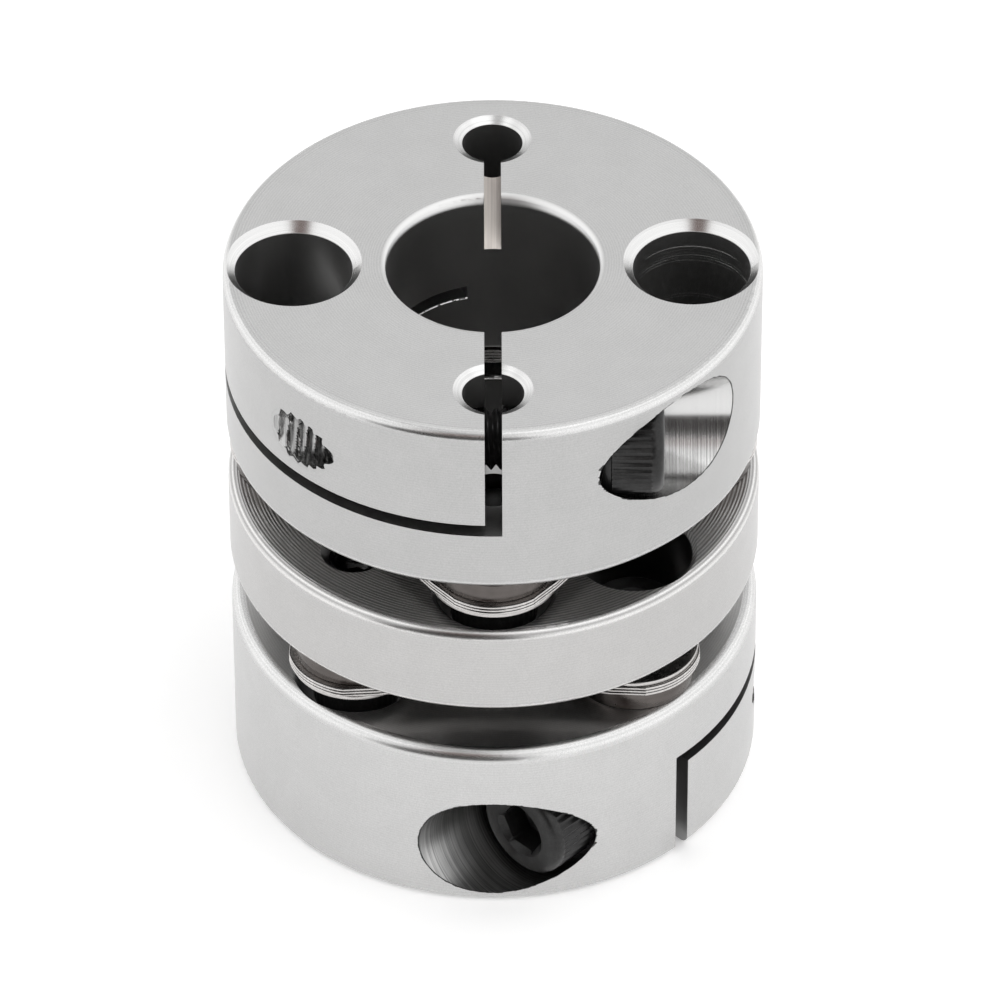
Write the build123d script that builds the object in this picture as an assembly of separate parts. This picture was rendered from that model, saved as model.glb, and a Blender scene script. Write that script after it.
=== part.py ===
from build123d import *
import math
import os

# Double disc coupling: two clamp hubs and a centre ring, joined by two packs of
# thin steel leaves. Millimetres, +Z along the shaft axis, origin at the centre of
# the lower end face. The two halves are the same but for how far their clamp screws
# are turned in. A half is modelled in its hub's own frame: leaf side at z = 0, end
# face at z = hub_length, slot towards -Y.

# Turned bodies
outer_radius = 22.0
hub_length = 16.35
ring_length = 8.4
bore_radius = 8.75
ring_bore_radius = 10.6
end_rim = 0.8
pack_rim = 1.1
ring_rim = 0.85
hub_bore_rim = 0.42
ring_bore_rim = 0.3

# Stack between a hub and the ring: collar, leaves, collar
collar_length = 1.9
leaf_thickness = 0.3
leaf_count = 3
pack_thickness = leaf_count * leaf_thickness
gap_length = 2 * collar_length + pack_thickness

# Disc screw circle and its holes
pitch_radius = 16.2
access_radius = 4.8
end_access_chamfer = 0.78
inner_access_chamfer = 0.4
tap_drill_radius = 2.5
end_tap_spot = 0.75
spot_angle = 120.0
ring_tap_chamfer = 0.7
hub_tap_chamfer = 0.3
screw_hole_radius = 2.1
tapped_play = 0.05

# Leaves, collars and washers
leaf_corner_radius = 5.6
leaf_side_radius = 60.0
leaf_opening_radius = 10.9
collar_radius = 5.1
collar_chamfer = 0.2
washer_radius = 5.4
washer_thickness = 0.45

# Clamp: a saw cut down to the slit, a slit that frees one jaw, and the cross screw
slot_width = 1.4
slit_height = 1.15
slit_depth = 9.4
saw_radius = 35.0
slot_saw_y = -9.1
slit_saw_y = -5.3
clamp_y = -15.35
clamp_depth = 5.9
clamp_seat_x = 7.5
clamp_backed_off = {"upper": 1.2, "lower": 0.0}
counterbore_radius = 4.95
clamp_hole_radius = 2.75

# Socket head cap screws: thread, head and hexagon
disc_screw = dict(thread_radius=2.0, length=8.0, head_radius=3.6, head_height=4.0,
                  head_chamfer=0.35, hex_flats=3.0, hex_depth=2.0, hex_turn=0.0)
clamp_screw = dict(thread_radius=2.5, length=16.0, head_radius=4.36, head_height=5.0,
                   head_chamfer=0.45, hex_flats=4.0, hex_depth=2.5, hex_turn=30.0)
tip_chamfer = 0.4

# Levels worked out from the sizes above
total_length = 2 * hub_length + 2 * gap_length + ring_length
ring_bottom = hub_length + gap_length
slit_top = hub_length - slit_depth
slit_bottom = slit_top - slit_height
clamp_level = hub_length - clamp_depth
pack_bottom = -collar_length - pack_thickness
past = 1.0


def turned_blank(length, inner_radius, bore_rim, bottom_rim, top_rim):
    """A round body with all its rims rounded, standing on z = 0."""
    width = outer_radius - inner_radius
    section = Pos(inner_radius + width / 2, length / 2) * Rectangle(width, length)
    section = fillet(section.vertices().group_by(Axis.X)[0], bore_rim)
    bottom_corner, top_corner = section.vertices().group_by(Axis.X)[-1].sort_by(Axis.Y)
    section = fillet(bottom_corner, bottom_rim)
    section = fillet(section.vertices().sort_by_distance(top_corner)[0], top_rim)
    return revolve(Plane.XZ * section, Axis.Z)


def at_angle(angle):
    """The centre of the screw on the pitch circle at this angle from +X."""
    return Pos(pitch_radius * math.cos(math.radians(angle)),
               pitch_radius * math.sin(math.radians(angle)), 0)


def drilled(radius, bottom, top, bottom_chamfer=0.0, top_chamfer=0.0, top_angle=90.0):
    """The tool for a round hole from bottom to top, its mouths opened out by cones."""
    tool = Pos(0, 0, (bottom + top) / 2) * Cylinder(radius, top - bottom + 2 * past)
    if top_chamfer:
        slope = math.tan(math.radians(top_angle / 2))
        depth = top_chamfer / slope
        cone = Cone(radius, radius + top_chamfer + past * slope, depth + past)
        tool += Pos(0, 0, top + (past - depth) / 2) * cone
    if bottom_chamfer:
        rim = past + bottom_chamfer
        tool += Pos(0, 0, bottom - (past - bottom_chamfer) / 2) * Cone(radius + rim, radius, rim)
    return tool


def slot_cut():
    """The upright saw cut: flat from the front, then a saw's arc up to the end face."""
    saw_level = slit_bottom + saw_radius
    feed = outer_radius + past + slot_saw_y
    run_out = Pos(slot_saw_y, saw_level) * Circle(saw_radius)
    run_in = Pos(slot_saw_y - feed / 2, saw_level) * Rectangle(feed, 2 * saw_radius)
    return extrude(Plane.YZ * (run_out + run_in), slot_width / 2, both=True)


def slit_cut():
    """The level saw cut, fed from the front, that frees the jaw on the -X side."""
    saw_x = slot_width / 2 - saw_radius
    feed = outer_radius + past + slit_saw_y
    run_out = Pos(saw_x, slit_saw_y) * Circle(saw_radius)
    run_in = Pos(saw_x, slit_saw_y - feed / 2) * Rectangle(2 * saw_radius, feed)
    return extrude(Pos(0, 0, slit_bottom) * (run_out + run_in), slit_height)


def clamp_holes():
    """Counterbore, clearance hole and tapped hole on one line across the slot."""
    tapped = clamp_screw["thread_radius"] + tapped_play
    reach = outer_radius + past
    across = Pos(0, clamp_y, clamp_level) * Rot(0, 90, 0)
    counterbore = Pos(0, 0, (clamp_seat_x + reach) / 2) * Cylinder(counterbore_radius,
                                                                  reach - clamp_seat_x)
    clearance = Pos(0, 0, reach / 2) * Cylinder(clamp_hole_radius, reach)
    return across * (counterbore + clearance + Cylinder(tapped, 2 * reach))


def hub():
    """One-piece clamp hub, with screw holes on its slot line and access holes beside."""
    body = turned_blank(hub_length, bore_radius, hub_bore_rim, pack_rim, end_rim)
    tapped = disc_screw["thread_radius"] + tapped_play
    for angle in (0, 180):
        body -= at_angle(angle) * drilled(access_radius, 0, hub_length,
                                          inner_access_chamfer, end_access_chamfer)
    for angle in (90, 270):
        body -= at_angle(angle) * drilled(tapped, 0, slit_bottom, hub_tap_chamfer)
        body -= at_angle(angle) * drilled(tap_drill_radius, slit_bottom + past, hub_length,
                                          top_chamfer=end_tap_spot, top_angle=spot_angle)
    body -= slot_cut()
    body -= slit_cut()
    body -= clamp_holes()
    return body


def centre_ring():
    """Ring with clearance holes for one pack's heads and threads for the other's."""
    body = turned_blank(ring_length, ring_bore_radius, ring_bore_rim, ring_rim, ring_rim)
    tapped = disc_screw["thread_radius"] + tapped_play
    for angle in (90, 270, -45, 135):
        body -= at_angle(angle) * drilled(access_radius, 0, ring_length,
                                          inner_access_chamfer, inner_access_chamfer)
    for angle in (0, 180, 45, 225):
        body -= at_angle(angle) * drilled(tapped, 0, ring_length,
                                          ring_tap_chamfer, ring_tap_chamfer)
    return body


def leaf():
    """Thin leaf: a round corner at each screw, joined by slightly hollow sides."""
    half_side = pitch_radius * math.sin(math.pi / 4)
    side_offset = math.sqrt((leaf_side_radius + leaf_corner_radius) ** 2 - half_side ** 2)
    waist = half_side + side_offset - leaf_side_radius
    lean = math.asin(half_side / (leaf_side_radius + leaf_corner_radius))
    blend_angle = math.pi / 4 - lean

    def polar(radius, angle):
        return Vector(radius * math.cos(angle), radius * math.sin(angle))

    with BuildSketch() as outline:
        with BuildLine():
            for corner in range(4):
                angle = corner * math.pi / 2
                screw = polar(pitch_radius, angle)
                next_screw = polar(pitch_radius, angle + math.pi / 2)
                start = screw + polar(leaf_corner_radius, angle - blend_angle)
                end = screw + polar(leaf_corner_radius, angle + blend_angle)
                next_start = next_screw + polar(leaf_corner_radius,
                                                angle + math.pi / 2 - blend_angle)
                tip = polar(pitch_radius + leaf_corner_radius, angle)
                ThreePointArc(start, tip, end)
                ThreePointArc(end, polar(waist, angle + math.pi / 4), next_start)
        make_face()
        Circle(leaf_opening_radius, mode=Mode.SUBTRACT)
        with PolarLocations(pitch_radius, 4):
            Circle(screw_hole_radius, mode=Mode.SUBTRACT)
    return extrude(outline.sketch, leaf_thickness)


def spacer(radius, length, edge=0.0):
    """A flat round collar or washer from z = 0 up."""
    body = Pos(0, 0, length / 2) * Cylinder(radius, length)
    if edge:
        body = chamfer(body.edges(), edge)
    return body - Pos(0, 0, length / 2) * Cylinder(screw_hole_radius, length + past)


def cap_screw(thread_radius, length, head_radius, head_height, head_chamfer,
              hex_flats, hex_depth, hex_turn):
    """Socket head cap screw, seated on z = 0 with its head up and its thread down."""
    head = Pos(0, 0, head_height / 2) * Cylinder(head_radius, head_height)
    head = chamfer(head.edges().group_by(Axis.Z)[-1], head_chamfer)
    shank = Pos(0, 0, -length / 2) * Cylinder(thread_radius, length)
    shank = chamfer(shank.edges().group_by(Axis.Z)[0], tip_chamfer)
    hexagon = RegularPolygon(hex_flats / 2, 6, major_radius=False, rotation=hex_turn)
    socket = Pos(0, 0, head_height - hex_depth) * extrude(hexagon, hex_depth + past)
    return head + shank - socket


def half_coupling(half):
    """Every piece of one half, named, in the hub's frame."""
    head_up = Rot(0, 0, 0)
    head_down = Rot(180, 0, 0)
    pieces = {"hub": hub()}
    across = Pos(clamp_seat_x + clamp_backed_off[half], clamp_y, clamp_level) * Rot(0, 90, 0)
    pieces["clamp_screw"] = across * cap_screw(**clamp_screw)
    for number in range(leaf_count):
        level = pack_bottom + number * leaf_thickness
        pieces[f"leaf_{number + 1}"] = Pos(0, 0, level) * leaf()
    # Screws into the hub lie on the slot line, screws into the ring lie beside it.
    joints = {
        "hub": ((270, 90), -collar_length, pack_bottom - washer_thickness,
                pack_bottom - washer_thickness, head_down),
        "ring": ((0, 180), -gap_length, -collar_length,
                 washer_thickness - collar_length, head_up),
    }
    for side, (angles, collar_level, washer_level, seat, turn) in joints.items():
        for number, angle in enumerate(angles, start=1):
            place = at_angle(angle)
            pieces[f"{side}_collar_{number}"] = (
                place * Pos(0, 0, collar_level) * spacer(collar_radius, collar_length,
                                                         collar_chamfer))
            pieces[f"{side}_washer_{number}"] = (
                place * Pos(0, 0, washer_level) * spacer(washer_radius, washer_thickness))
            pieces[f"{side}_screw_{number}"] = (
                place * Pos(0, 0, seat) * turn * cap_screw(**disc_screw))
    return pieces


def assembly():
    """Both halves about the ring. The lower one is turned over and by 135 degrees."""
    places = {
        "upper": Pos(0, 0, total_length - hub_length),
        "lower": Pos(0, 0, hub_length) * Rot(0, 0, -135) * Rot(180, 0, 0),
    }
    nodes = {"centre_ring": Pos(0, 0, ring_bottom) * centre_ring()}
    for half, place in places.items():
        for name, piece in half_coupling(half).items():
            nodes[f"{half}_{name}"] = place * piece
    return nodes


os.makedirs("parts", exist_ok=True)
for name, piece in assembly().items():
    export_step(piece, f"parts/{name}.step")
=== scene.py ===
import math

import bmesh
import bpy
from mathutils import Matrix, Vector
from mathutils.geometry import delaunay_2d_cdt


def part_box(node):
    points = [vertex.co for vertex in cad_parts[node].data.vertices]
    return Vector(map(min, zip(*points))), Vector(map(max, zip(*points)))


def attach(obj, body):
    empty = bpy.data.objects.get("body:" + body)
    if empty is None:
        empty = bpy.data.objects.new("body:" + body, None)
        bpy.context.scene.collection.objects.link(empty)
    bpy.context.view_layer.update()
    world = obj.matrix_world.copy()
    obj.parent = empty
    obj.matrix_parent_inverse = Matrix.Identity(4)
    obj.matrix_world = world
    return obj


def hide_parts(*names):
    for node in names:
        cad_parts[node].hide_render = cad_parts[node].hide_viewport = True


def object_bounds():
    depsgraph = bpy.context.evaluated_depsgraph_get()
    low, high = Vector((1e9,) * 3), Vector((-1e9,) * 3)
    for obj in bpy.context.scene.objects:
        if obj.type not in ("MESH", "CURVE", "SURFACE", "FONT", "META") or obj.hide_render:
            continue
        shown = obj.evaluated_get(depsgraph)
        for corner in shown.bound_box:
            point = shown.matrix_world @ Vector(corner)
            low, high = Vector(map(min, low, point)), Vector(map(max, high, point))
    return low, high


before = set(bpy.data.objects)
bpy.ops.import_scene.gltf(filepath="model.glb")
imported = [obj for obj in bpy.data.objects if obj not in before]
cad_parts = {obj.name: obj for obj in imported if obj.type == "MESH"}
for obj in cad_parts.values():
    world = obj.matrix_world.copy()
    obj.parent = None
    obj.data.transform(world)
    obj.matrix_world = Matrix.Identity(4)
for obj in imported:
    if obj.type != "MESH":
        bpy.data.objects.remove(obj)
cad_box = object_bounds()

# ---------------------------------------------------------------------------
# Sizes in millimetres, as in the CAD. A half coupling is described in its hub's own
# frame: leaf side at z = 0, end face at z = HUB, slot towards -Y.
# ---------------------------------------------------------------------------
MM = 0.001
MICRON = 1e-6

OUTER = 22.0
HUB = 16.35
RING = 8.4
BORE = 8.75
RING_BORE = 10.6
END_RIM = 0.8
PACK_RIM = 1.1
RING_RIM = 0.85
BORE_RIM = 0.42
PITCH_RADIUS = 16.2
ACCESS = 4.8
ACCESS_CHAMFER = 0.78
SMALL = 2.5
SMALL_CHAMFER = 0.75
SMALL_CHAMFER_DEPTH = 0.44
COLLAR = 1.9
COLLAR_RADIUS = 5.1
LEAF = 0.3
LEAF_OPENING = 10.9
LEAF_CORNER = 5.6
LEAF_SIDE = 60.0
SCREW_HOLE = 2.1
PACK = 3 * LEAF
WASHER = 0.45
WASHER_RADIUS = 5.4
SLIT_LOW = 5.8
SLIT_HIGH = 6.95
HALF_SLOT = 0.7
SAW = 35.0
SLOT_SAW_Y = -9.1
SLIT_SAW_Y = -5.3
CLAMP_Y = -15.35
CLAMP_Z = 10.45
CLAMP_SEAT = 7.5
BACKED_OFF = {"upper": 1.2, "lower": 0.0}
COUNTERBORE = 4.95
TAPPED_PLAY = 0.05

# Head and socket sizes of the screws are the CAD's. Knurls, threads and the clamp
# screw's wider bevel are the scene's own.
DISC_SCREW = dict(thread=2.0, pitch=0.7, length=8.0, head=3.6, height=4.0, bevel=0.35,
                  flats=3.0, depth=2.0, teeth=36, groove=0.05, hex_turn=0.0)
CLAMP_SCREW = dict(thread=2.5, pitch=0.8, length=16.0, head=4.36, height=5.0, bevel=0.7,
                   flats=4.0, depth=2.5, teeth=44, groove=0.16, hex_turn=30.0)

# Also the scene's own: how far edges are rounded, and how far cut threads stand in
# from their holes.
LEAF_EDGE = 0.14
WASHER_EDGE = 0.14
COLLAR_EDGE = 0.16
CLAMP_THREAD_DEPTH = 0.42
RING_THREAD_DEPTH = 0.36

# The ring's open threads: the angles of the two screws from above, then of the two
# from below, and the levels between which their tips leave the holes open.
RING_THREADS = ((0, 0.7, 3.55), (180, 0.7, 3.55), (45, 4.85, RING - 0.7), (225, 4.85, RING - 0.7))

PLACEMENTS = {
    "upper": Matrix.Translation((0, 0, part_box("upper_hub")[0][2])),
    "lower": (Matrix.Translation((0, 0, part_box("lower_hub")[1][2]))
              @ Matrix.Rotation(math.radians(-135), 4, "Z") @ Matrix.Rotation(math.pi, 4, "X")),
}
RING_FRAME = Matrix.Translation((0, 0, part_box("centre_ring")[0][2]))


def place(x, y, z, turn=0.0, about="X"):
    """A placement in millimetres, turned by some degrees about one axis."""
    return (Matrix.Translation((x * MM, y * MM, z * MM))
            @ Matrix.Rotation(math.radians(turn), 4, about))


def on_circle(angle, z, turn=0.0):
    """A placement on the circle of disc screws."""
    a = math.radians(angle)
    return place(PITCH_RADIUS * math.cos(a), PITCH_RADIUS * math.sin(a), z, turn)


# ---------------------------------------------------------------------------
# Shader graphs
# ---------------------------------------------------------------------------
class Graph:
    """A node graph. Most methods add one or more nodes and give back the last output."""

    def __init__(self, name, tree=None):
        if tree is None:
            self.material = bpy.data.materials.new(name)
            self.material.use_nodes = True
            tree = self.material.node_tree
            self.surface = tree.nodes["Principled BSDF"]
        self.tree = tree

    def add(self, kind, **settings):
        node = self.tree.nodes.new(kind)
        for key, value in settings.items():
            setattr(node, key, value)
        return node

    def feed(self, socket, value):
        if isinstance(value, bpy.types.NodeSocket):
            self.tree.links.new(value, socket)
        else:
            socket.default_value = value

    def math(self, operation, *values):
        node = self.add("ShaderNodeMath", operation=operation)
        for socket, value in zip(node.inputs, values):
            self.feed(socket, value)
        return node.outputs[0]

    def minus(self, first, second):
        return self.math("SUBTRACT", first, second)

    def times(self, first, *others):
        for other in others:
            first = self.math("MULTIPLY", first, other)
        return first

    def scaled(self, value, factor, start):
        return self.math("MULTIPLY_ADD", value, factor, start)

    def length(self, *values):
        squares = [self.times(v, v) for v in values]
        total = squares[0]
        for square in squares[1:]:
            total = self.math("ADD", total, square)
        return self.math("SQRT", total)

    def ramp(self, value, low, high, to_low=0.0, to_high=1.0):
        node = self.add("ShaderNodeMapRange", interpolation_type="SMOOTHSTEP")
        for socket, given in zip(node.inputs, (value, low, high, to_low, to_high)):
            self.feed(socket, given)
        return node.outputs[0]

    # Masks run from 0 to 1, with soft edges.
    def below(self, value, limit, soft=0.02):
        return self.ramp(value, limit - soft, limit + soft, 1.0, 0.0)

    def above(self, value, limit, soft=0.02):
        return self.ramp(value, limit - soft, limit + soft)

    def within(self, value, low, high, soft=0.02):
        return self.both(self.above(value, low, soft), self.below(value, high, soft))

    both = times

    def either(self, first, *others):
        for other in others:
            first = self.math("MAXIMUM", first, other)
        return first

    def mix(self, first, second, factor):
        node = self.add("ShaderNodeMix", data_type="FLOAT")
        self.feed(node.inputs[0], factor)
        self.feed(node.inputs[2], first)
        self.feed(node.inputs[3], second)
        return node.outputs[0]

    def tint(self, value, colour):
        """A grey value times a colour."""
        node = self.add("ShaderNodeMix", data_type="RGBA", blend_type="MULTIPLY")
        node.inputs[0].default_value = 1.0
        join = self.add("ShaderNodeCombineColor")
        for socket in join.inputs:
            self.feed(socket, value)
        self.feed(node.inputs[6], join.outputs[0])
        self.feed(node.inputs[7], colour)
        return node.outputs[2]

    def blend(self, first, second, factor):
        node = self.add("ShaderNodeMix", data_type="RGBA")
        self.feed(node.inputs[0], factor)
        self.feed(node.inputs[6], first)
        self.feed(node.inputs[7], second)
        return node.outputs[2]

    def vector(self, x, y, z):
        node = self.add("ShaderNodeCombineXYZ")
        for socket, value in zip(node.inputs, (x, y, z)):
            self.feed(socket, value)
        return node.outputs[0]

    def parts(self, vector):
        node = self.add("ShaderNodeSeparateXYZ")
        self.feed(node.inputs[0], vector)
        return node.outputs

    def local(self, placement):
        """x, y, z in millimetres in a frame placed on the object's own, and their vector."""
        back = placement.inverted()
        node = self.add("ShaderNodeMapping")
        coordinate = self.add("ShaderNodeTexCoord")
        self.feed(node.inputs["Vector"], coordinate.outputs["Object"])
        node.inputs["Scale"].default_value = (1 / MM,) * 3
        node.inputs["Rotation"].default_value = back.to_euler("XYZ")
        node.inputs["Location"].default_value = back.translation / MM
        return (*self.parts(node.outputs[0]), node.outputs[0])

    def noise(self, vector, scale, detail=2.0, rough=0.5):
        node = self.add("ShaderNodeTexNoise")
        self.feed(node.inputs["Vector"], vector)
        node.inputs["Scale"].default_value = scale
        node.inputs["Detail"].default_value = detail
        node.inputs["Roughness"].default_value = rough
        return node.outputs[0]

    def feed_marks(self, value, pitch):
        """The marks of a turning tool's feed along a coordinate, from -1 to 1."""
        drift = self.noise(self.vector(value, 0.0, 0.0), 0.25 / pitch, 2.0)
        turns = self.scaled(value, 1 / pitch, drift)
        return self.math("SINE", self.times(turns, 2 * math.pi))

    def streaks(self, value, density, across, detail=4.0):
        """Streaks packed along one coordinate, and drawn out in every other direction."""
        lines = self.times(value, density)
        x, y, z = (self.times(value, 0.05) for value in across)
        return self.noise(self.vector(self.math("ADD", lines, x), y, z), 1.0, detail, 0.7)

    def painted_gap_shade(self, shade):
        """1, falling to shade where a rounded edge turns towards the sheet beside it: a painted
        shade that darkens the gaps between stacked sheets.
        """
        normal = self.parts(self.add("ShaderNodeNewGeometry").outputs["True Normal"])
        level = self.math("ABSOLUTE", normal[2])
        return self.mix(1.0, shade, self.within(level, 0.66, 0.99, 0.005))

    def finish(self, colour, rough, height):
        """The material, with its height in micrometres."""
        self.feed(self.surface.inputs["Base Color"], colour)
        self.feed(self.surface.inputs["Roughness"], rough)
        self.surface.inputs["Metallic"].default_value = 1.0
        node = self.add("ShaderNodeBump")
        node.inputs["Strength"].default_value = 1.0
        node.inputs["Distance"].default_value = MICRON
        self.feed(node.inputs["Height"], height)
        self.feed(self.surface.inputs["Normal"], node.outputs[0])
        return self.material


class Surface:
    """A metal's grey, roughness and height, laid on in layers."""

    def __init__(self, g, grey, rough, height):
        self.g = g
        self.grey = grey
        self.rough = rough
        self.height = height

    def lay(self, mask, **layer):
        for quality, value in layer.items():
            setattr(self, quality, self.g.mix(getattr(self, quality), value, mask))

    def finish(self, colour):
        return self.g.finish(self.g.tint(self.grey, colour), self.rough, self.height)


# ---------------------------------------------------------------------------
# Aluminium. A grey is the colour of a surface.
# ---------------------------------------------------------------------------
FACE_GREY = 0.635
RING_FACE_GREY = 0.54
# The ring's side grey lies between the hubs' side greys: the sides are painted lighter the lower
# they stand, a painted light.
RING_SIDE_GREY = 0.51
CUT_GREY = 0.72
# Holes are painted darker than the faces, a painted shade for their insides; the ring's holes are
# darker still.
SHADED_HOLE_GREY = 0.43
RING_SHADED_HOLE_GREY = 0.2
CHATTER_GREY = 0.7
SLOT_FLOOR_GREY = 0.5
BURR_HIGHLIGHT_GREY = 0.95
EDGE_LINE_GREY = 0.05
TURNED_ROUGH = 0.32
RIM_ROUGH = 0.27
HUB_COLOUR = (1.0, 0.998, 0.992, 1)
SLOT_FLOOR_COLOUR = (1.0, 0.93, 0.87, 1)
RING_COLOUR = (1.0, 0.99, 0.98, 1)

# The feed of the turning tool: its pitch in millimetres, the depth of its grooves in
# micrometres, and how far they lighten and darken the surface.
HUB_FEED = dict(pitch=0.228, depth=2.0, contrast=0.05)
RING_FEED = dict(pitch=0.29, depth=10.0, contrast=0.3)
SIDE_FEED = dict(pitch=0.27, depth=0.7, contrast=0.025)

# What differs between the hubs. Each hub's side grey is painted lighter the lower the hub stands, a
# painted light; the ring's side grey lies between. The counterbore's wall has wall_grey and
# wall_rough, and shows almost no marks above the level smooth_from.
HUB_FINISH_AND_PAINTED_LIGHT = {
    "upper": dict(side_grey_and_painted_light=0.465, sawn_grey=0.55, smooth_from=CLAMP_Z - 1.6,
                  wall_grey=0.63, wall_rough=0.2),
    "lower": dict(side_grey_and_painted_light=0.575, sawn_grey=0.36, smooth_from=HUB,
                  wall_grey=0.42, wall_rough=0.3),
}

# How far past a wall, a saw cut and a chamfer its own finish reaches, so that none of
# it is missed.
SKIN = 0.03
SAWN_SKIN = 0.02
CHAMFER_SKIN = 0.01

# How far down the bore its rounded edge fades out, as a bump and as a painted highlight.
LEAD_IN = 1.1


def turned_body(g, r, z, vector, face_grey, side_grey_and_painted_light, feed):
    """The surface of a turned body, before its rims and holes."""
    side = g.above(r, OUTER - SKIN, 0.02)
    cloud = g.noise(vector, 0.35, 3.0)
    grain = g.noise(vector, 9.0, 2.0, 0.6)

    def marks(value, pitch, depth, contrast):
        wave = g.feed_marks(value, pitch)
        return g.scaled(wave, contrast, 1.0), g.times(wave, depth)

    face_shade, face_height = marks(r, **feed)
    side_shade, side_height = marks(z, **SIDE_FEED)
    grey = g.times(g.mix(face_grey, side_grey_and_painted_light, side), g.mix(face_shade, side_shade, side),
                   g.ramp(cloud, 0.3, 0.7, 0.985, 1.015), g.ramp(grain, 0.25, 0.75, 0.92, 1.08))
    height = g.scaled(grain, 1.6, g.mix(face_height, side_height, side))
    return Surface(g, grey, TURNED_ROUGH, height)


def rim_mask(g, r, z, inner, top, bottom):
    """The rounded rims: what is outside a radius, over one level or under another."""
    beyond = g.either(g.above(z, top, 0.05), g.below(z, bottom, 0.05))
    return g.both(g.above(r, inner, 0.05), beyond)


def lay_end_holes(g, surface, x, y, z, r):
    """The bore, the access holes and the small holes, with their chamfers."""
    access = g.length(g.minus(g.math("ABSOLUTE", x), PITCH_RADIUS), y)
    small = g.length(x, g.minus(g.math("ABSOLUTE", y), PITCH_RADIUS))
    under_face = g.below(z, HUB - 0.01, 0.005)

    def chamfer(distance, radius, width, depth):
        return g.both(g.below(distance, radius + width + CHAMFER_SKIN),
                      g.above(z, HUB - depth - CHAMFER_SKIN), under_face)

    # Chamfers are bright cuts, with the cutter's rings in them.
    chamfers = g.either(chamfer(access, ACCESS, ACCESS_CHAMFER, ACCESS_CHAMFER),
                        chamfer(small, SMALL, SMALL_CHAMFER, SMALL_CHAMFER_DEPTH))
    rings = g.streaks(z, 9.0, (x, y, z))
    surface.lay(chamfers, grey=g.ramp(rings, 0.3, 0.7, CUT_GREY - 0.12, CUT_GREY), rough=0.22,
                height=g.times(rings, 5.0))

    # The walls of the holes are painted dark, a painted shade. The tool has chattered in the access
    # hole on the +X side.
    walls = g.either(g.below(r, BORE + SKIN), g.below(access, ACCESS + SKIN),
                     g.below(small, SMALL + SKIN))
    walls = g.both(walls, g.below(z, HUB - BORE_RIM, 0.02))
    rings = g.streaks(z, 6.0, (x, y, z))
    chatter = g.both(g.above(rings, 0.62, 0.03), g.above(x, 12.0),
                     g.either(g.within(z, 12.6, 14.2, 0.2), g.within(z, 8.7, 9.1, 0.1)))
    surface.lay(walls, grey=g.mix(SHADED_HOLE_GREY, CHATTER_GREY, chatter), rough=0.38,
                height=g.scaled(chatter, 14.0, g.times(rings, 8.0)))

    # The bore's rounded edge fades softly into its wall: a bump draws it out, and the wall just
    # under it is painted lighter, a painted highlight that widens the edge's band of light.
    start = HUB - LEAD_IN
    in_bore = g.both(g.below(r, BORE + BORE_RIM + CHAMFER_SKIN, 0.01), under_face)
    surface.lay(g.both(in_bore, g.above(z, start, 0.01)), rough=0.4,
                grey=g.ramp(z, start, HUB - 0.5, SHADED_HOLE_GREY, CUT_GREY))
    swell = g.both(g.ramp(z, 2.0, start), g.ramp(z, start, HUB - 0.02, 450.0, 0.0))
    surface.lay(in_bore, height=g.scaled(rings, 3.0, swell))


def lay_saw_cuts(g, surface, x, y, z, r, vector, sawn_grey):
    """The walls of the upright slot and the level slit. Gives back the mask of the
    slot's curved floor, behind the bore."""
    run_out = g.length(g.minus(y, SLOT_SAW_Y), g.minus(z, SLIT_LOW + SAW))
    slot = g.both(g.below(g.math("ABSOLUTE", x), HALF_SLOT + SAWN_SKIN, 0.01),
                  g.above(z, SLIT_LOW - SAWN_SKIN, 0.01),
                  g.either(g.below(run_out, SAW + SAWN_SKIN, 0.01), g.below(y, SLOT_SAW_Y, 0.01)))
    sweep = g.length(g.minus(x, HALF_SLOT - SAW), g.minus(y, SLIT_SAW_Y))
    swept = g.both(g.below(x, HALF_SLOT + SAWN_SKIN, 0.01),
                   g.either(g.below(sweep, SAW + SAWN_SKIN, 0.01), g.below(y, SLIT_SAW_Y, 0.01)))
    slit = g.both(swept, g.within(z, SLIT_LOW - SAWN_SKIN, SLIT_HIGH + SAWN_SKIN, 0.01))
    slot_floor = g.both(slot, g.above(run_out, SAW - 0.05, 0.01), g.above(y, 0.0))
    lines = g.streaks(x, 7.0, (run_out, y, z))
    floor_grey = g.times(g.ramp(lines, 0.3, 0.7, 0.85, 1.15), g.ramp(y, 9.0, 11.0, 1.3, 1.0),
                         SLOT_FLOOR_GREY)
    surface.lay(g.either(slot, slit), grey=g.mix(sawn_grey, floor_grey, slot_floor), rough=0.3,
                height=g.times(lines, 6.0))

    # A broken burr where the slit runs out into the bore: its bump tilts the wall upwards, and its
    # bright grey is a painted highlight along the slit's lower edge.
    burr_low = SLIT_LOW - 0.2
    burr_and_highlight = g.both(g.below(r, BORE + SKIN), swept, g.within(z, burr_low, SLIT_LOW, 0.03),
                  g.above(g.noise(vector, 2.6, 2.0), 0.45, 0.04))
    surface.lay(burr_and_highlight, grey=BURR_HIGHLIGHT_GREY, height=g.ramp(z, burr_low, SLIT_LOW, 130.0, 0.0))
    return slot_floor


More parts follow.
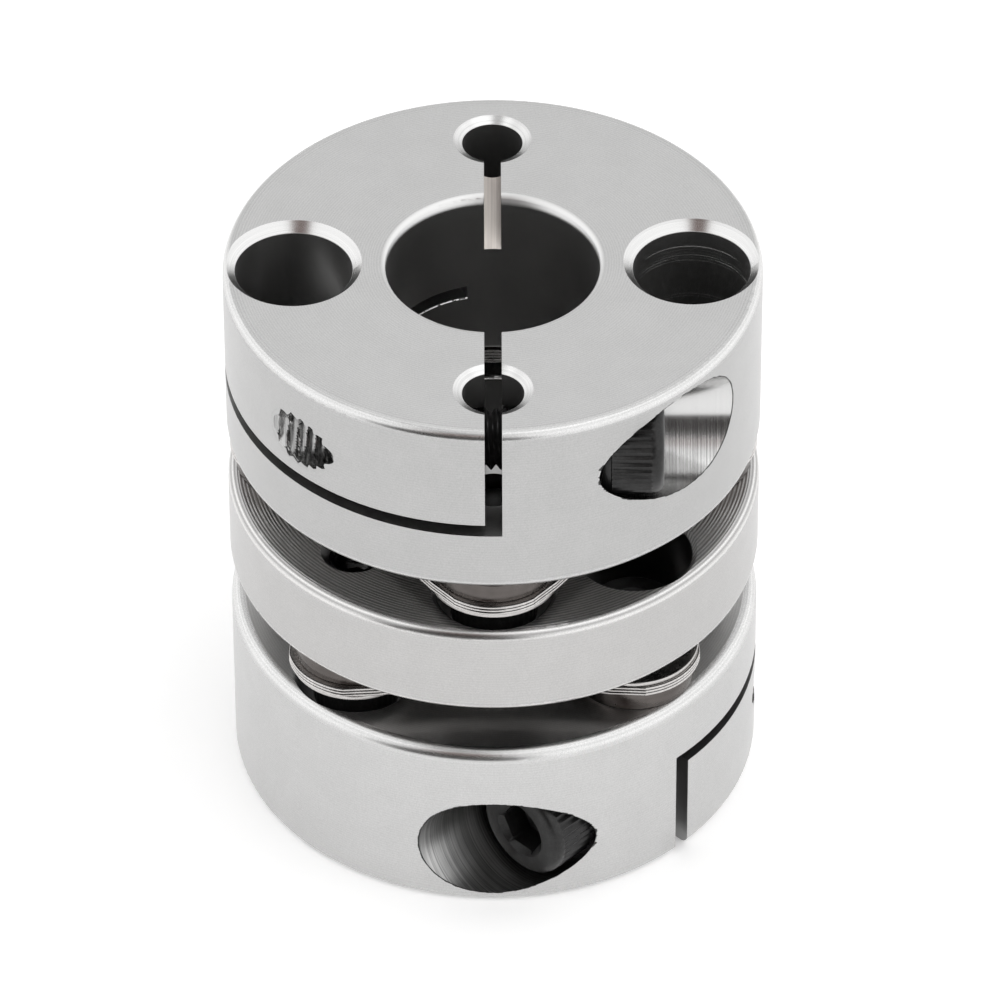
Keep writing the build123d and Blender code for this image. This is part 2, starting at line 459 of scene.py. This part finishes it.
def lay_counterbore(g, surface, x, y, z, r, smooth_from, wall_grey, wall_rough):
    """The counterbore for the clamp screw, with the cutter's marks round its wall and a ragged
    near-black line painted along its edge."""
    off_y, off_z = g.minus(y, CLAMP_Y), g.minus(z, CLAMP_Z)
    clamp = g.length(off_y, off_z)
    milled = g.both(g.below(clamp, COUNTERBORE + SKIN), g.above(x, CLAMP_SEAT - 0.02))
    marks = g.streaks(x, 8.0, (x, y, z), 5.0)
    marked = g.ramp(z, smooth_from - 0.3, smooth_from + 0.3, 1.0, 0.1)
    surface.lay(milled, grey=g.scaled(g.ramp(marks, 0.35, 0.65, -0.13, 0.13), marked, wall_grey),
                rough=wall_rough, height=g.times(marks, marked, 5.0))

    # The ragged line follows a noise along the edge's own direction, so its spikes point straight
    # in.
    outside = g.above(r, OUTER - 0.05, 0.02)
    round_edge = g.vector(g.math("DIVIDE", off_y, clamp), g.math("DIVIDE", off_z, clamp), 0.0)
    ragged_line = g.noise(round_edge, 7.0, 3.0, 0.6)
    deep_side = g.above(y, CLAMP_Y + 2.5, 1.0)
    width = g.mix(g.ramp(ragged_line, 0.42, 0.75, 0.0, 0.12), g.ramp(ragged_line, 0.3, 0.7, 0.03, 0.1),
                  deep_side)
    edge = g.both(g.above(x, 0.0), g.below(g.minus(clamp, width), COUNTERBORE))
    surface.lay(g.both(outside, edge), grey=EDGE_LINE_GREY)


def aluminium_hub(name, placement, side_grey_and_painted_light, sawn_grey, smooth_from, wall_grey, wall_rough):
    g = Graph(name)
    x, y, z, vector = g.local(placement)
    r = g.length(x, y)
    surface = turned_body(g, r, z, vector, FACE_GREY, side_grey_and_painted_light, HUB_FEED)
    rim = rim_mask(g, r, z, OUTER - PACK_RIM, HUB - END_RIM, PACK_RIM)
    leaf_side = g.below(z, 0.02, 0.01)
    surface.lay(g.either(rim, leaf_side), height=0.0)
    surface.lay(rim, rough=RIM_ROUGH)
    lay_end_holes(g, surface, x, y, z, r)
    slot_floor = lay_saw_cuts(g, surface, x, y, z, r, vector, sawn_grey)
    lay_counterbore(g, surface, x, y, z, r, smooth_from, wall_grey, wall_rough)
    return surface.finish(g.blend(HUB_COLOUR, SLOT_FLOOR_COLOUR, slot_floor))


def aluminium_ring(name, placement):
    g = Graph(name)
    x, y, z, vector = g.local(placement)
    r = g.length(x, y)
    surface = turned_body(g, r, z, vector, RING_FACE_GREY, RING_SIDE_GREY, RING_FEED)
    walls = [g.below(r, RING_BORE + SKIN)]
    for turn in range(4):
        a = turn * math.pi / 4
        u = g.math("ADD", g.times(x, math.cos(a)), g.times(y, math.sin(a)))
        v = g.minus(g.times(y, math.cos(a)), g.times(x, math.sin(a)))
        pair = g.length(g.minus(g.math("ABSOLUTE", u), PITCH_RADIUS), v)
        walls.append(g.below(pair, ACCESS + SKIN))
    rim = rim_mask(g, r, z, OUTER - RING_RIM + 0.12, RING - RING_RIM, RING_RIM)
    surface.lay(rim, height=0.0, rough=RIM_ROUGH)
    rings = g.streaks(z, 6.0, (x, y, z))
    # The walls of the ring's holes are painted dark, a painted shade.
    surface.lay(g.both(g.either(*walls), g.within(z, 0.01, RING - 0.01, 0.005)),
                grey=RING_SHADED_HOLE_GREY, height=g.times(rings, 8.0))
    return surface.finish(RING_COLOUR)


def aluminium_thread(name, placement, low, high, skin_grey):
    """Thread cut in a hole along x, its streaks dark between the greys low and high, a painted
    shade for the inside of the hole. Its end on the outside of the body has skin_grey.
    """
    g = Graph(name)
    x, y, z = g.local(placement)[:3]
    lines = g.streaks(x, 6.0, (x, y, z))
    skin = g.above(g.length(x, y), OUTER - 0.02, 0.005)
    surface = Surface(g, g.ramp(lines, 0.3, 0.7, low, high), 0.25, g.times(lines, 4.0))
    surface.lay(skin, grey=skin_grey, rough=TURNED_ROUGH)
    return surface.finish(HUB_COLOUR)


# ---------------------------------------------------------------------------
# Steel. Collars, washers and leaves have their axes along Z, through their own origins.
# ---------------------------------------------------------------------------
SHEET_COLOUR = (1.0, 0.97, 0.95, 1)
COLLAR_COLOUR = (1.0, 0.9, 0.85, 1)
BLACK_COLOUR = (1.0, 0.99, 0.985, 1)
# How dark the painted shade in the gaps between leaves and washers falls.
PAINTED_GAP_SHADE = 0.12


def turned_steel(name, grey, colour, rough, depth, painted_edge_shade):
    g = Graph(name)
    x, y, z, vector = g.local(Matrix())
    cloud = g.noise(vector, 0.8, 3.0)
    rings = g.noise(g.vector(g.length(x, y), z, 0.0), 6.0, 4.0, 0.7)
    value = g.times(g.ramp(cloud, 0.3, 0.7, grey * 0.9, grey * 1.08),
                    g.ramp(rings, 0.3, 0.7, 0.92, 1.05), g.painted_gap_shade(painted_edge_shade))
    return g.finish(g.tint(value, colour), g.ramp(cloud, 0.3, 0.7, rough, rough + 0.1),
                    g.times(rings, depth))


def leaf_steel(name):
    g = Graph(name)
    x, y, z, vector = g.local(Matrix())
    drawn = g.noise(g.vector(g.times(x, 0.06), y, g.times(z, 0.1)), 6.0, 3.0, 0.6)
    cloud = g.noise(vector, 0.5, 3.0)
    value = g.times(g.ramp(drawn, 0.3, 0.7, 0.5, 0.64), g.ramp(cloud, 0.3, 0.7, 0.94, 1.05),
                    g.painted_gap_shade(PAINTED_GAP_SHADE))
    return g.finish(g.tint(value, SHEET_COLOUR), g.ramp(drawn, 0.3, 0.7, 0.2, 0.32), drawn)


def black_steel(name):
    g = Graph(name)
    vector = g.local(Matrix())[3]
    grain = g.noise(vector, 7.0, 4.0, 0.6)
    worn = g.noise(vector, 1.3, 4.0, 0.6)
    value = g.times(g.ramp(grain, 0.25, 0.75, 0.02, 0.033), g.ramp(worn, 0.35, 0.75, 0.85, 1.3))
    material = g.finish(g.tint(value, BLACK_COLOUR), g.ramp(grain, 0.3, 0.7, 0.3, 0.42),
                        g.times(grain, 4.0))
    g.surface.inputs["Metallic"].default_value = 0.6
    return material


# ---------------------------------------------------------------------------
# Meshes. Rows of points round an axis, joined into a closed surface.
# ---------------------------------------------------------------------------
ROUND_SIDES = 96
SLEEVE_SIDES = 60
QUARTER = [math.radians(90 * i / 4) for i in range(5)]


def circle_row(bm, count, radius, z):
    """A row of vertices at one level; radius may be a function of the angle."""
    row = []
    for i in range(count):
        a = 2 * math.pi * i / count
        rr = radius(a) if callable(radius) else radius
        row.append(bm.verts.new((rr * math.cos(a) * MM, rr * math.sin(a) * MM, z * MM)))
    return row


def join_rows(bm, rows, closed=False):
    """Quads between each row and the next, turned outwards for rows that go up."""
    pairs = list(zip(rows, rows[1:]))
    if closed:
        pairs.append((rows[-1], rows[0]))
    for low, high in pairs:
        count = len(low)
        for i in range(count):
            k = (i + 1) % count
            bm.faces.new((low[i], low[k], high[k], high[i]))


def cap_row(bm, row, z, up):
    """A fan of triangles from a row to a point on the axis."""
    tip = bm.verts.new((0, 0, z * MM))
    for i, vert in enumerate(row):
        other = row[(i + 1) % len(row)]
        bm.faces.new((vert, other, tip) if up else (other, vert, tip))


def fill_flat(bm, outer, holes):
    """Triangles over one flat level, between an outer row and the rows of round holes."""
    verts, edges, owners = [], [], []
    for number, row in enumerate([outer] + holes):
        start = len(verts)
        verts += row
        owners += [number] * len(row)
        edges += [(start + i, start + (i + 1) % len(row)) for i in range(len(row))]
    points = [vert.co.xy / MM for vert in verts]
    _, _, faces, sources, _, _ = delaunay_2d_cdt(points, edges, [], 1, 1e-5)
    for face in faces:
        corners = [sources[i][0] for i in face]
        touched = {owners[i] for i in corners}
        inside_a_hole = len(touched) == 1 and 0 not in touched
        if not inside_a_hole:
            bm.faces.new([verts[i] for i in corners])


def make_piece(bm, name, placement, material, replaces=(), smooth_angle=35.0):
    """An object from a mesh that is turned into place, with its origin on its own axis."""
    bm.transform(placement.to_3x3().to_4x4())
    bmesh.ops.recalc_face_normals(bm, faces=bm.faces)
    mesh = bpy.data.meshes.new(name)
    bm.to_mesh(mesh)
    bm.free()
    mesh.materials.append(material)
    piece = bpy.data.objects.new(name, mesh)
    bpy.context.scene.collection.objects.link(piece)
    piece.location = placement.translation
    for polygon in mesh.polygons:
        polygon.use_smooth = True
    mesh.set_sharp_from_angle(angle=math.radians(smooth_angle))
    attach(piece, "root")
    for node in replaces:
        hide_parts(node)


def thread_radius(major, pitch, z, angle, depth):
    """The radius of a V thread with a flat crest at a height and an angle."""
    phase = (z / pitch - angle / (2 * math.pi)) % 1.0
    climb = min(phase, 1.0 - phase) * 2.0
    return major - depth * min(1.0, max(0.0, 1.15 * climb - 0.1))


def cap_screw(bm, thread, pitch, length, head, height, bevel, flats, depth, teeth, groove,
              hex_turn):
    """Socket head cap screw on z = 0, head up: knurled head, hexagon, rolled thread."""
    count = teeth * 6

    def knurled(depth_share):
        def radius(a):
            phase = (a * teeth / (2 * math.pi)) % 1.0
            return head - groove * depth_share * (1 - abs(2 * phase - 1)) ** 0.8
        return radius

    def hexagon(a):
        turn = (a - math.radians(hex_turn)) % (math.pi / 3) - math.pi / 6
        return flats / 2 / math.cos(turn)

    round_socket = flats / math.sqrt(3) + 0.2
    knurl_low = 0.16 * height
    knurl_high = height - bevel - 0.06 * height
    under = circle_row(bm, count, head * 0.93, 0.0)
    rows = [
        under,
        circle_row(bm, count, head * 0.965, 0.06 * height),
        circle_row(bm, count, head * 0.97, knurl_low - 0.1),
        circle_row(bm, count, knurled(0.35), knurl_low),
        circle_row(bm, count, knurled(1.0), knurl_low + 0.12),
        circle_row(bm, count, knurled(1.0), knurl_high - 0.12),
        circle_row(bm, count, knurled(0.3), knurl_high + 0.04),
        circle_row(bm, count, head - 0.03, knurl_high + 0.12),
        *[circle_row(bm, count, head - 0.02 - bevel * (1 - math.cos(math.radians(a))),
                     height - bevel * (1 - math.sin(math.radians(a)))) for a in (0, 30, 60, 90)],
        circle_row(bm, count, round_socket + 0.05, height),
        circle_row(bm, count, round_socket, height - 0.04),
        circle_row(bm, count, hexagon, height - 0.45),
        circle_row(bm, count, hexagon, height - depth),
        circle_row(bm, count, lambda a: 0.55 * hexagon(a), height - depth - 0.3),
    ]
    join_rows(bm, rows)
    cap_row(bm, rows[-1], height - depth - 0.55, True)

    shank_count = 48
    step = pitch / 8
    smooth = 0.6
    low = -length + 0.3
    steps = int((-smooth - low) / step)
    shank = [circle_row(bm, shank_count, thread + 0.25, 0.0),
             circle_row(bm, shank_count, thread, -0.25),
             circle_row(bm, shank_count, thread * 0.97, -smooth)]
    for i in range(1, steps):
        z = -smooth - i * step
        ridge = 0.55 * pitch * fade(z, low, -smooth, pitch)
        shank.append(circle_row(
            bm, shank_count,
            lambda a, z=z, ridge=ridge: thread_radius(thread, pitch, z, a, ridge), z))
    shank.append(circle_row(bm, shank_count, thread - 0.45, -length + 0.05))
    shank.append(circle_row(bm, shank_count, thread - 0.7, -length))
    join_rows(bm, shank)
    cap_row(bm, shank[-1], -length, False)
    fill_flat(bm, under, [shank[0]])


def fade(z, low, high, reach):
    """1 in the middle of a span and 0 at its ends."""
    return max(0.0, min(1.0, (z - low) / reach, (high - z) / reach))


def thread_sleeve(bm, major, pitch, low, high, depth):
    """Thread in a plain hole: ridges that stand in from its wall, between two levels.
    low is a function of x, the first cross direction."""
    angles = [2 * math.pi * k / SLEEVE_SIDES for k in range(SLEEVE_SIDES)]
    steps = max(6, int(max(high - low(0), pitch) / (pitch / 8)))

    def level(x, share):
        return low(x) * (1 - share) + high * share

    def make_row(radii, share):
        return [bm.verts.new((rr * math.cos(a) * MM, rr * math.sin(a) * MM,
                              level(rr * math.cos(a), share) * MM)) for rr, a in zip(radii, angles)]

    rows = []
    for i in range(steps + 1):
        share = i / steps
        radii = []
        for a in angles:
            crest = thread_radius(major, pitch, level(major * math.cos(a), share), a, depth)
            radii.append(min(major - depth + (major - crest) - 0.02, major - 0.02))
        rows.append(make_row(radii, share))
    wall = [major - 0.005] * len(angles)
    rows += [make_row(wall, 1.0), make_row(wall, 0.0)]
    join_rows(bm, rows, closed=True)


def flat_ring(bm, inner, outer, thickness, edge):
    """A washer or collar from z = 0 up, with rounded outer edges."""
    flat = outer - edge - 0.03
    rows = [(flat, 0.0)]
    rows += [(outer - edge + edge * math.sin(a), edge - edge * math.cos(a)) for a in QUARTER]
    rows += [(outer - edge + edge * math.cos(a), thickness - edge + edge * math.sin(a))
             for a in QUARTER]
    rows += [(flat, thickness), (inner + 0.05, thickness), (inner, thickness - 0.05),
             (inner, 0.05), (inner + 0.05, 0.0)]
    join_rows(bm, [circle_row(bm, ROUND_SIDES, rr, z) for rr, z in rows], closed=True)


def leaf_outline():
    """Points and outward normals round the leaf: corners at the screws, hollow sides."""
    half = PITCH_RADIUS * math.sin(math.pi / 4)
    reach = math.sqrt((LEAF_SIDE + LEAF_CORNER) ** 2 - half ** 2)
    lean = math.asin(half / (LEAF_SIDE + LEAF_CORNER))
    points = []
    for k in range(4):
        turn = k * math.pi / 2
        blend = math.pi / 4 - lean
        for i in range(25):
            a = turn + blend * (2 * i / 24 - 1)
            centre = Vector((PITCH_RADIUS * math.cos(turn), PITCH_RADIUS * math.sin(turn)))
            normal = Vector((math.cos(a), math.sin(a)))
            points.append((centre + normal * LEAF_CORNER, normal))
        middle = turn + math.pi / 4
        away = Vector((math.cos(middle), math.sin(middle))) * (half + reach)
        for i in range(1, 24):
            a = middle + lean * (1 - 2 * i / 24)
            normal = Vector((math.cos(a), math.sin(a)))
            points.append((away - normal * LEAF_SIDE, normal))
    return points


def round_hole(centre, radius, count):
    """Points round a hole, and normals that point into it."""
    points = []
    for i in range(count):
        a = -2 * math.pi * i / count
        away = Vector((math.cos(a), math.sin(a)))
        points.append((centre + radius * away, -away))
    return points


def leaf(bm):
    """One thin leaf from z = 0 up, its edges rounded as a stamped sheet's are."""
    levels = [(LEAF_EDGE - LEAF_EDGE * math.sin(a), LEAF_EDGE * (1 - math.cos(a)))
              for a in QUARTER]
    levels += [(inset, LEAF - z) for inset, z in reversed(levels)]
    holes = [(Vector((0, 0)), LEAF_OPENING, ROUND_SIDES)]
    for turn in range(4):
        a = turn * math.pi / 2
        holes.append((PITCH_RADIUS * Vector((math.cos(a), math.sin(a))), SCREW_HOLE, 32))
    outlines = [leaf_outline()] + [round_hole(*hole) for hole in holes]
    bottom, top = [], []
    for outline in outlines:
        rows = []
        for inset, z in levels:
            rows.append([bm.verts.new(((p.x - n.x * inset) * MM, (p.y - n.y * inset) * MM, z * MM))
                         for p, n in outline])
        join_rows(bm, rows)
        bottom.append(rows[0])
        top.append(rows[-1])
    for level in (bottom, top):
        fill_flat(bm, level[0], level[1:])


# ---------------------------------------------------------------------------
# Dress the frame
# ---------------------------------------------------------------------------
THREAD_ALONG_X = Matrix(((0, 0, 1, 0), (1, 0, 0, 0), (0, 1, 0, 0), (0, 0, 0, 1)))
SHEET_SMOOTH_ANGLE = 10.0


def exit_level(across):
    """The level along the clamp screw's axis where its hole comes out of the hub."""
    return -math.sqrt((OUTER - 0.008) ** 2 - (CLAMP_Y + across) ** 2)


def paint(node, material):
    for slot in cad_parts[node].material_slots:
        slot.material = material


def add_clamp_screw(half, base, black):
    bm = bmesh.new()
    cap_screw(bm, **CLAMP_SCREW)
    seat = CLAMP_SEAT + BACKED_OFF[half]
    make_piece(bm, f"{half}_clamp_screw_knurled", base @ place(seat, CLAMP_Y, CLAMP_Z, 90, "Y"),
               black, [f"{half}_clamp_screw"])

    bm = bmesh.new()
    tip = seat - CLAMP_SCREW["length"] - 0.3
    thread_sleeve(bm, CLAMP_SCREW["thread"] + TAPPED_PLAY, CLAMP_SCREW["pitch"], exit_level, tip,
                  CLAMP_THREAD_DEPTH)
    axis = base @ place(0, CLAMP_Y, CLAMP_Z) @ THREAD_ALONG_X
    from_axis = Matrix.Translation(-axis.translation) @ base
    metal = aluminium_thread(f"{half}_clamp_thread", from_axis, 0.2, 0.5,
                             HUB_FINISH_AND_PAINTED_LIGHT[half]["side_grey_and_painted_light"])
    make_piece(bm, f"{half}_hub_clamp_thread", axis, metal)


def add_leaves(half, base, metal):
    for number in (1, 2, 3):
        bm = bmesh.new()
        leaf(bm)
        level = -COLLAR - PACK + (number - 1) * LEAF
        make_piece(bm, f"{half}_leaf_{number}_stamped", base @ place(0, 0, level),
                   metal, [f"{half}_leaf_{number}"], SHEET_SMOOTH_ANGLE)


def add_stack(label, number, base, angle, collar_level, washer_level, seat, turn, metals):
    """A collar, a washer and a disc screw, at an angle on the circle of disc screws."""
    rings = (("collar", COLLAR_RADIUS, COLLAR, COLLAR_EDGE, collar_level),
             ("washer", WASHER_RADIUS, WASHER, WASHER_EDGE, washer_level))
    for kind, radius, thickness, edge, level in rings:
        bm = bmesh.new()
        flat_ring(bm, SCREW_HOLE, radius, thickness, edge)
        make_piece(bm, f"{label}_{kind}_{number}_turned", base @ on_circle(angle, level),
                   metals[kind], [f"{label}_{kind}_{number}"])
    bm = bmesh.new()
    cap_screw(bm, **DISC_SCREW)
    make_piece(bm, f"{label}_screw_{number}_knurled", base @ on_circle(angle, seat, turn),
               metals["screw"], [f"{label}_screw_{number}"])


def add_stacks(half, base, metals):
    """The stacks that hold a pack to its hub, and between them those to the ring."""
    under_pack = -COLLAR - PACK - WASHER
    on_ring = -2 * COLLAR - PACK
    for number, angle in enumerate((270, 90), start=1):
        add_stack(f"{half}_hub", number, base, angle, -COLLAR, under_pack, under_pack, 180, metals)
    for number, angle in enumerate((0, 180), start=1):
        add_stack(f"{half}_ring", number, base, angle, on_ring, -COLLAR, WASHER - COLLAR, 0, metals)


def add_ring_threads():
    # Near black: a painted shade inside the ring's holes.
    metal = aluminium_thread("ring_thread", Matrix.Rotation(math.pi / 2, 4, "Y"), 0.03, 0.06,
                             RING_SIDE_GREY)
    for number, (angle, low, high) in enumerate(RING_THREADS, start=1):
        bm = bmesh.new()
        thread_sleeve(bm, DISC_SCREW["thread"] + TAPPED_PLAY, DISC_SCREW["pitch"],
                      lambda x, low=low: low, high, RING_THREAD_DEPTH)
        make_piece(bm, f"centre_ring_thread_{number}", RING_FRAME @ on_circle(angle, 0),
                   metal)


def dress():
    leaf_metal = leaf_steel("leaf_sheet")
    metals = {
        # The collars' grey of 0.12, far darker than the washers' steel, is a painted shade.
        "collar": turned_steel("collar_steel", 0.12, COLLAR_COLOUR, 0.18, 6.0, 1.0),
        "washer": turned_steel("washer_steel", 0.55, SHEET_COLOUR, 0.22, 3.0, PAINTED_GAP_SHADE),
        "screw": black_steel("black_oxide"),
    }
    paint("centre_ring", aluminium_ring("ring_aluminium", RING_FRAME))
    for half, base in PLACEMENTS.items():
        paint(f"{half}_hub", aluminium_hub(f"{half}_hub_aluminium", base, **HUB_FINISH_AND_PAINTED_LIGHT[half]))
        add_clamp_screw(half, base, metals["screw"])
        add_leaves(half, base, leaf_metal)
        add_stacks(half, base, metals)
    add_ring_threads()


# ---------------------------------------------------------------------------
# Floor, light and camera
# ---------------------------------------------------------------------------
TABLE_RADIUS = 0.6
TABLE_DROP = 0.00002
TABLE_GLOW = 0.2
ROOM = 0.8
SOFTBOX = 1.35
WHITE = (1, 1, 1, 1)
STAND_COLOUR = (0.04, 0.035, 0.033, 1)
PATCH_COLOUR = (0.17, 0.095, 0.08, 1)
PATCH_DIRECTION = Vector((-0.16, -0.66, 0.73)).normalized()
OBJECT_MIDDLE = Vector((0, 0, 0.025))
CAMERA_ELEVATION = math.radians(40.446)
CAMERA_ROLL = math.radians(-0.240)
CAMERA_TARGET = Vector((0.000513, 0, 0.025063))
CAMERA_DISTANCE = 0.7284
CAMERA_LENS = 315.2


def make_floor():
    """A round pale table, a little brighter to the camera than its light makes it."""
    bm = bmesh.new()
    bmesh.ops.create_circle(bm, cap_ends=True, segments=ROUND_SIDES, radius=TABLE_RADIUS)
    mesh = bpy.data.meshes.new("floor")
    bm.to_mesh(mesh)
    bm.free()
    floor = bpy.data.objects.new("floor", mesh)
    bpy.context.scene.collection.objects.link(floor)
    floor.location = (0, 0, cad_box[0][2] - TABLE_DROP)
    g = Graph("floor_white")
    g.surface.inputs["Base Color"].default_value = (0.96, 0.96, 0.96, 1)
    g.surface.inputs["Roughness"].default_value = 0.9
    g.surface.inputs["Specular IOR Level"].default_value = 0.0
    g.surface.inputs["Emission Color"].default_value = WHITE
    path = g.add("ShaderNodeLightPath")
    seen = g.either(path.outputs["Is Camera Ray"], path.outputs["Is Glossy Ray"])
    g.feed(g.surface.inputs["Emission Strength"], g.times(seen, TABLE_GLOW))
    mesh.materials.append(g.material)


def make_world():
    """A pale room, brighter in front, overhead and to either side, with a dark stand in
    front that is wide at its foot and reaches up over the camera, and a dim patch beside
    the camera."""
    world = bpy.data.worlds.new("studio")
    bpy.context.scene.world = world
    world.use_nodes = True
    g = Graph("studio", world.node_tree)
    background = world.node_tree.nodes["Background"]
    path = g.add("ShaderNodeLightPath")
    x, y, z = g.parts(g.add("ShaderNodeTexCoord").outputs["Generated"])
    lit = g.either(g.ramp(y, -0.05, 0.35, 1.0, 0.0), g.ramp(g.math("ABSOLUTE", x), 0.35, 0.75))
    room = g.tint(g.ramp(lit, 0.0, 1.0, ROOM, SOFTBOX), WHITE)

    middle = g.ramp(z, 0.2, 0.95, -0.24, -0.14)
    reach = g.ramp(z, 0.2, 0.9, 0.38, 0.09)
    fade = g.ramp(z, 0.2, 0.9, 0.19, 0.09)
    aside = g.math("ABSOLUTE", g.minus(x, middle))
    stand = g.both(g.ramp(aside, reach, g.math("ADD", reach, fade), 1.0, 0.0),
                   g.ramp(z, 0.6, 0.97, 1.0, 0.75), g.ramp(y, 0.0, 0.3, 1.0, 0.0))
    room = g.blend(room, STAND_COLOUR, stand)

    facing = g.math("ADD", g.times(x, PATCH_DIRECTION.x),
                    g.math("ADD", g.times(y, PATCH_DIRECTION.y), g.times(z, PATCH_DIRECTION.z)))
    patch = g.ramp(facing, math.cos(math.radians(17)), math.cos(math.radians(6)), 0.0, 0.8)
    room = g.blend(room, PATCH_COLOUR, patch)
    g.feed(background.inputs["Color"], g.blend(room, WHITE, path.outputs["Is Camera Ray"]))
    background.inputs["Strength"].default_value = 1.0


def make_lamp(name, size, position, power):
    data = bpy.data.lights.new(name, "AREA")
    data.shape = "SQUARE"
    data.size = size
    data.energy = power
    lamp = bpy.data.objects.new(name, data)
    bpy.context.scene.collection.objects.link(lamp)
    lamp.location = position
    lamp.rotation_mode = "QUATERNION"
    lamp.rotation_quaternion = (OBJECT_MIDDLE - Vector(position)).to_track_quat("-Z", "Y")


def make_camera():
    back = Vector((0, -math.cos(CAMERA_ELEVATION), math.sin(CAMERA_ELEVATION)))
    right = Vector((1, 0, 0))
    up = back.cross(right)
    turned_right = right * math.cos(CAMERA_ROLL) + up * math.sin(CAMERA_ROLL)
    turned_up = up * math.cos(CAMERA_ROLL) - right * math.sin(CAMERA_ROLL)
    data = bpy.data.cameras.new("camera")
    data.lens = CAMERA_LENS
    data.sensor_width = 36.0
    data.clip_start = 0.05
    data.clip_end = 30.0
    camera = bpy.data.objects.new("camera", data)
    bpy.context.scene.collection.objects.link(camera)
    turn = Matrix((turned_right, turned_up, back)).transposed().to_4x4()
    camera.matrix_world = Matrix.Translation(CAMERA_TARGET + back * CAMERA_DISTANCE) @ turn
    bpy.context.scene.camera = camera


dress()
make_floor()
make_world()
make_lamp("overhead", 0.9, (0.1, 0.2, 0.9), 0.6)
make_camera()
bpy.context.scene.view_settings.view_transform = "Standard"
